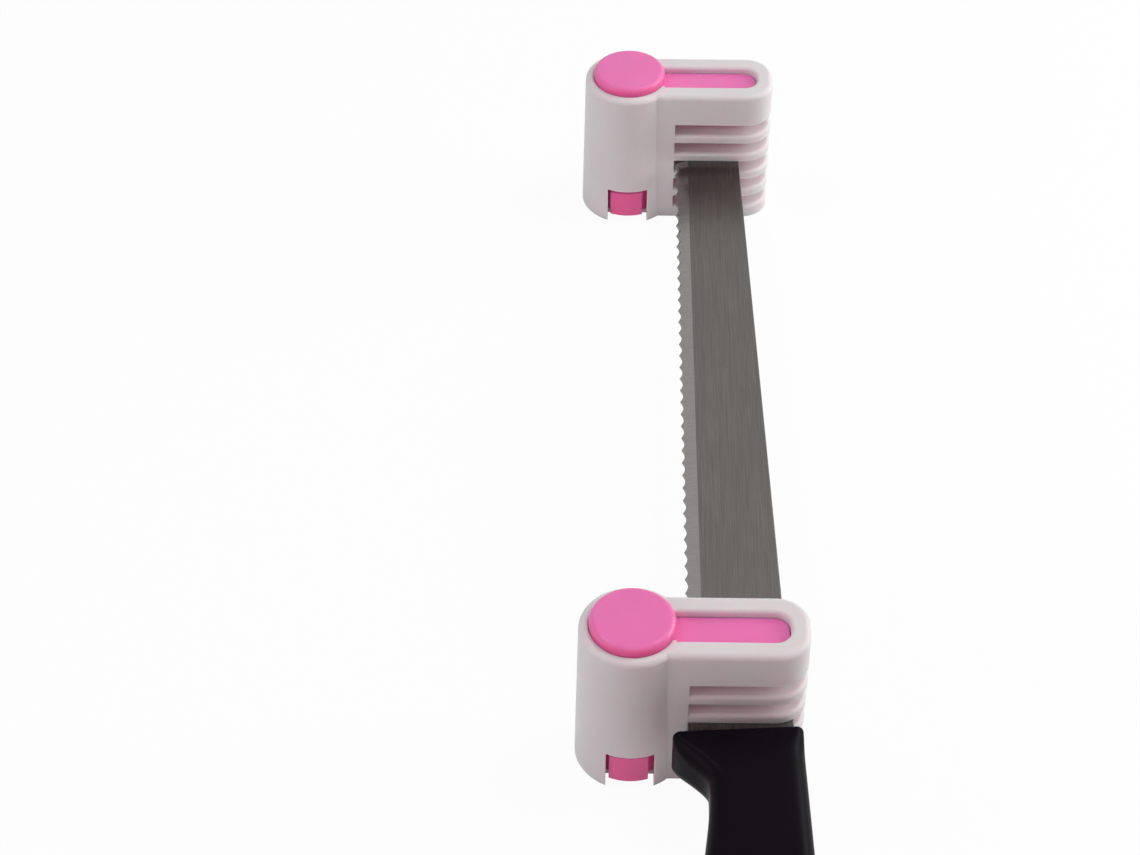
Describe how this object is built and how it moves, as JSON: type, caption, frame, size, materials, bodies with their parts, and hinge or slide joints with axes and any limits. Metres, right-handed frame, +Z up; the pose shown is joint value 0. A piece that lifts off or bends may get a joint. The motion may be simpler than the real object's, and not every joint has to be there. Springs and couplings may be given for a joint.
{
  "type": "cake layer cutter",
  "caption": "Long serrated knife held level by a pair of spring-clamp slotted guides, for cutting a cake into even layers.",
  "frame": {"origin": "on the front guide's tower axis, at its base", "axes": "+X from the tower to the open ends of the knife slots, +Y along the blade from the handle to the tip, +Z up"},
  "size_m": [0.0725, 0.4626, 0.0597],
  "materials": {
    "blade_steel": "fine brushed along the blade",
    "handle_black": "fine satin moulded plastic",
    "housing_white": "satin-gloss moulded plastic",
    "clamp_pink": "satin-gloss moulded plastic",
    "spring_steel": "drawn wire"
  },
  "bodies": {
    "knife": {"blade": "blade_steel", "handle": "handle_black"},
    "front_guide": {"front_housing": "housing_white", "front_spring": "spring_steel"},
    "front_clamp": {"front_clamp": "clamp_pink"},
    "rear_guide": {"rear_housing": "housing_white", "rear_spring": "spring_steel"},
    "rear_clamp": {"rear_clamp": "clamp_pink"}
  },
  "joints": [
    {"name": "front_guide_slide", "type": "slide", "parent": "knife", "child": "front_guide", "axis": [0, 1, 0], "range_m": [-0.006, 0.115]},
    {"name": "rear_guide_slide", "type": "slide", "parent": "knife", "child": "rear_guide", "axis": [0, 1, 0], "range_m": [-0.115, 0.012]},
    {"name": "front_button_press", "type": "slide", "parent": "front_guide", "child": "front_clamp", "axis": [0, 0, 1], "range_m": [-0.002, 0], "stiffness_N_per_m": 500, "springref_m": 0.008, "deforming": ["front_spring"]},
    {"name": "rear_button_press", "type": "slide", "parent": "rear_guide", "child": "rear_clamp", "axis": [0, 0, 1], "range_m": [-0.002, 0], "stiffness_N_per_m": 500, "springref_m": 0.008, "deforming": ["rear_spring"]}
  ]
}
